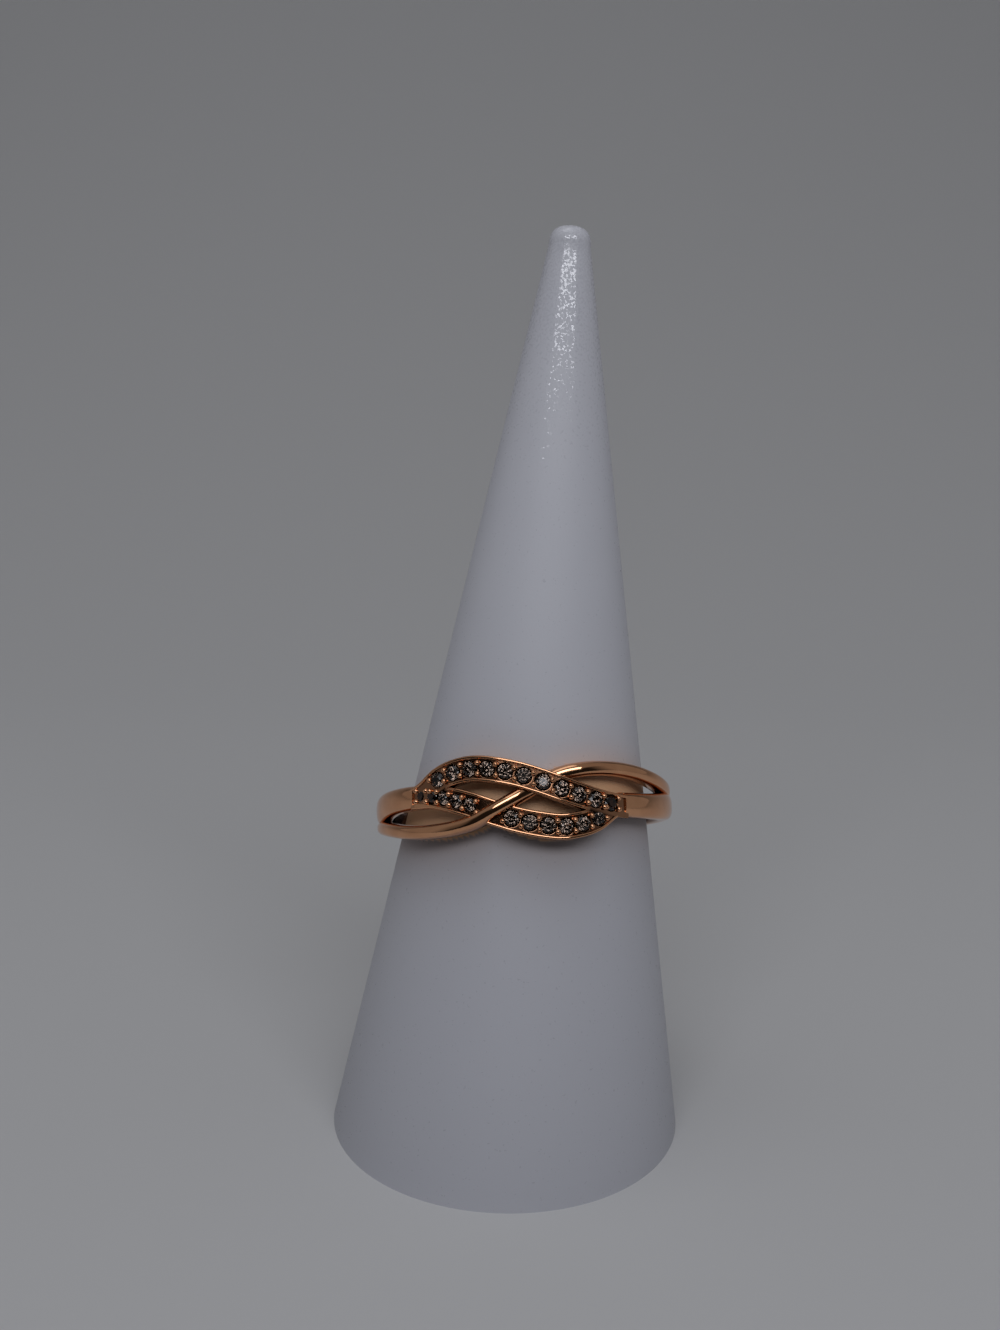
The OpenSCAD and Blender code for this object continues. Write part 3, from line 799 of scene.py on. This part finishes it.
# Painted light and shade for the three marks: a darker foot, warm light thrown by the gold, and the shadow
# under the ring.
FOOT_SHADE_TONE, PAINTED_GLOW_TONE, PAINTED_SHADOW_TONE = (0.45, 0.455, 0.50), (0.95, 0.55, 0.30), (0.24, 0.20, 0.20)
display_plastic, nodes, link, shader = finish(
    "display_plastic", {"Grain scale": 5200, "Cloud scale": 260, "Waves": 0.3},
    bump=0.10, distance=0.00005)
shader.inputs["Specular IOR Level"].default_value = 1.0
mottled_colour(nodes, link, shader, WHITE_DEEP, WHITE_PALE, scale=90,
               foot=FOOT_SHADE_TONE, warm=PAINTED_GLOW_TONE, shade=PAINTED_SHADOW_TONE)

# %% Glossy specks near the tip
SPECK_SCALE, SPECK_REACH = 5500, 0.25
SPECK_CUT = {"From Min": 0.70, "From Max": 0.74, "To Min": 0.58, "To Max": 0.09}
place, specks, worn_tip, reach, gloss = (nodes.new(n) for n in (
    "ShaderNodeTexCoord", "ShaderNodeTexNoise", "ShaderNodeAttribute", "ShaderNodeMath",
    "ShaderNodeMapRange"))
link(place.outputs["Object"], specks.inputs["Vector"])
specks.inputs["Scale"].default_value, specks.inputs["Detail"].default_value = SPECK_SCALE, 1
worn_tip.attribute_name, reach.operation = "handled", "MULTIPLY_ADD"
link(worn_tip.outputs["Fac"], reach.inputs[0])
reach.inputs[1].default_value = SPECK_REACH
link(specks.outputs["Fac"], reach.inputs[2])
for key, value in SPECK_CUT.items():
    gloss.inputs[key].default_value = value
link(reach.outputs[0], gloss.inputs["Value"])
link(gloss.outputs["Result"], shader.inputs["Roughness"])
print("specks to a millimetre:", SPECK_SCALE * MM)

# %% [markdown]
# ## Finishes and places
# Each piece gets its finish and rides on the imported body, and the imported node it stands for is hidden.
# The five pieces of metal together stand for the one cast band.

# %% Give every piece its finish and its place in the frame
metal = {"shank": shank, "plain_strand": plain_strand, "upper_strand": upper_strand,
         "lower_strand": lower_strand, "grains": grains}
for piece in metal.values():
    piece.data.materials.append(rose_gold)
    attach(piece, "root")
    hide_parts("band")
for (row, i), piece in stones.items():
    piece.data.materials.append(clear_stone)
    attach(piece, "root")
    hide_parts(f"{row}_stone_{i + 1}")
display_cone.data.materials.append(display_plastic)
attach(display_cone, "root")
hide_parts("cone")
print("pieces dressed:", len(metal) + len(stones) + 1)

# %% [markdown]
# ## The stage
# A plain pale sheet lies under the cone and curves up behind it, so there is no line
# between floor and wall. It ends a little in front of the cone, below the picture, so
# that the plain strand mirrors the dark front of the room and not more pale floor. The
# sheet isn't part of the object.

# %% Floor and backdrop
FLOOR_HALF, FLOOR_FRONT = 0.9, -0.055
WALL_AT, WALL_CURVE, WALL_HIGH, BEND_POINTS = 0.12, 0.45, 1.0, 30


def sweep_sheet():
    """A flat run, a quarter of a circle and an upright run, carried sideways."""
    bend = np.linspace(0, math.pi / 2, BEND_POINTS)
    depth = np.concatenate([[FLOOR_FRONT], WALL_AT + WALL_CURVE * np.sin(bend), [WALL_AT + WALL_CURVE]])
    rise = np.concatenate([[0], WALL_CURVE * (1 - np.cos(bend)), [WALL_HIGH]])
    side = np.array([-FLOOR_HALF, FLOOR_HALF])
    points = np.stack(np.broadcast_arrays(side[:, None], depth, rise), -1)
    at = np.arange(points.shape[0] * points.shape[1]).reshape(points.shape[:2])
    quads = np.stack([at[0, :-1], at[1, :-1], at[1, 1:], at[0, 1:]], -1)
    mesh = bpy.data.meshes.new("stage_sheet")
    mesh.from_pydata(points.reshape(-1, 3).tolist(), [], quads.tolist())
    mesh.polygons.foreach_set("use_smooth", [True] * len(mesh.polygons))
    sheet = bpy.data.objects.new("stage_sheet", mesh)
    bpy.context.scene.collection.objects.link(sheet)
    return sheet


SHEET_TONE = (0.62, 0.62, 0.625, 1)
stage_sheet = sweep_sheet()
pale_sheet = bpy.data.materials.new("pale_sheet")
pale_sheet.use_nodes = True
sheet_shader = pale_sheet.node_tree.nodes["Principled BSDF"]
sheet_shader.inputs["Base Color"].default_value = SHEET_TONE
sheet_shader.inputs["Roughness"].default_value = 0.85
stage_sheet.data.materials.append(pale_sheet)
stage_sheet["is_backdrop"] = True
print("the sheet ends", round(-FLOOR_FRONT / MM), "mm in front of the cone's middle")

# %% [markdown]
# ## Light
# Polished metal needs something dark to mirror as well as something bright, or it looks
# like clay. The room is evenly dim, but its front is nearly black up to a little above
# eye level, and the plain strand mirrors that as its black band. A wide, low lamp in
# front stands just above the dark part, as a window would. It gives the white flashes
# on the metal and the glint on the cone. A square lamp overhead fills in softly.

# %% The room
ROOM_TONE = (0.20, 0.20, 0.205)
# Stops as place and brightness: how far round to the front, and how high.
FRONT_STOPS = ((0.25, 0.0), (0.55, 1.0))
HEIGHT_STOPS = ((0.42, 0.012), (0.50, 0.20))
COOLER = 1.02
world = bpy.data.worlds.new("dim_room")
bpy.context.scene.world = world
world.use_nodes = True
room, link = world.node_tree.nodes, world.node_tree.links.new
place, split, front, height, blend = (room.new(n) for n in (
    "ShaderNodeTexCoord", "ShaderNodeSeparateXYZ", "ShaderNodeValToRGB", "ShaderNodeValToRGB",
    "ShaderNodeMix"))
blend.data_type = "RGBA"
link(place.outputs["Generated"], split.inputs[0])
facing = room.new("ShaderNodeMath")
facing.operation, facing.inputs[1].default_value = "MULTIPLY", -1.0
link(split.outputs["Y"], facing.inputs[0])
link(facing.outputs[0], front.inputs["Fac"])
link(split.outputs["Z"], height.inputs["Fac"])
for ramp, stops in ((front, FRONT_STOPS), (height, HEIGHT_STOPS)):
    for stop, (at, tone) in zip(ramp.color_ramp.elements, stops):
        stop.position, stop.color = at, (tone, tone, tone * COOLER, 1)
link(front.outputs["Color"], blend.inputs["Factor"])
blend.inputs["A"].default_value = (*ROOM_TONE, 1)
link(height.outputs["Color"], blend.inputs["B"])
link(blend.outputs["Result"], room["Background"].inputs["Color"])
print("the room's dark front starts at", FRONT_STOPS[0][0], "towards the front")


# %% The lamps
def lamp(name, at, aim, size, power, colour):
    """A rectangular soft lamp that looks at a point."""
    light = bpy.data.lights.new(name, "AREA")
    light.shape = "RECTANGLE"
    light.size, light.size_y = size
    light.energy, light.color = power, colour
    body = bpy.data.objects.new(name, light)
    body.location = at
    body.rotation_euler = (Vector(aim) - Vector(at)).to_track_quat("-Z", "Y").to_euler()
    bpy.context.scene.collection.objects.link(body)
    return body


COOL = (0.93, 0.95, 1.0)
RING_MIDDLE, NEAR_TIP = (0, 0, 0.03), (0, 0, 0.055)
lamp("ceiling_lamp", at=(-0.10, -0.05, 0.70), aim=RING_MIDDLE, size=(0.40, 0.40), power=0.42, colour=COOL)
lamp("window_lamp", at=(0.03, -0.40, 0.35), aim=NEAR_TIP, size=(0.58, 0.13), power=0.95, colour=COOL)
print("lamps:", len(bpy.data.lights))

# %% [markdown]
# ## The camera
# The photograph was taken from in front and a little above, close by, with the camera
# rolled by about a degree. Its height, distance and tilt were fitted to the cone's
# outline and to the ellipse of its foot.

# %% Camera
CAMERA_AT = Vector((-1.079, -93.93, 55.22)) * MM
PITCH_DOWN, ROLL = 12.89, 1.06
FOCAL_PX, LONG_SIDE_PX, SENSOR = 1404, 1330, 36.0
camera = bpy.data.objects.new("camera", bpy.data.cameras.new("camera"))
bpy.context.scene.collection.objects.link(camera)
camera.data.lens, camera.data.sensor_width = FOCAL_PX / LONG_SIDE_PX * SENSOR, SENSOR
camera.data.clip_start = 0.005
camera.matrix_world = (
    Matrix.Translation(CAMERA_AT) @ Matrix.Rotation(math.radians(90 - PITCH_DOWN), 4, "X")
    @ Matrix.Rotation(math.radians(ROLL), 4, "Z"))
bpy.context.scene.camera = camera
bpy.context.scene.view_settings.view_transform = "Standard"
print("lens", round(camera.data.lens, 2), "mm")

# %% [markdown]
# ## Close the lesson
# The boxes of the imported solids and of the visual model are both kept, and the last lines print their
# sizes in millimetres. The visual model has to fill the same box as the imported solids.

# %% Sizes and the end
own_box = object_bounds()
sizes = {"cad": [list(corner) for corner in cad_box], "visual": [list(corner) for corner in own_box]}
for name, box in sizes.items():
    print(name, [round((high - low) / MM, 2) for low, high in zip(*box)])
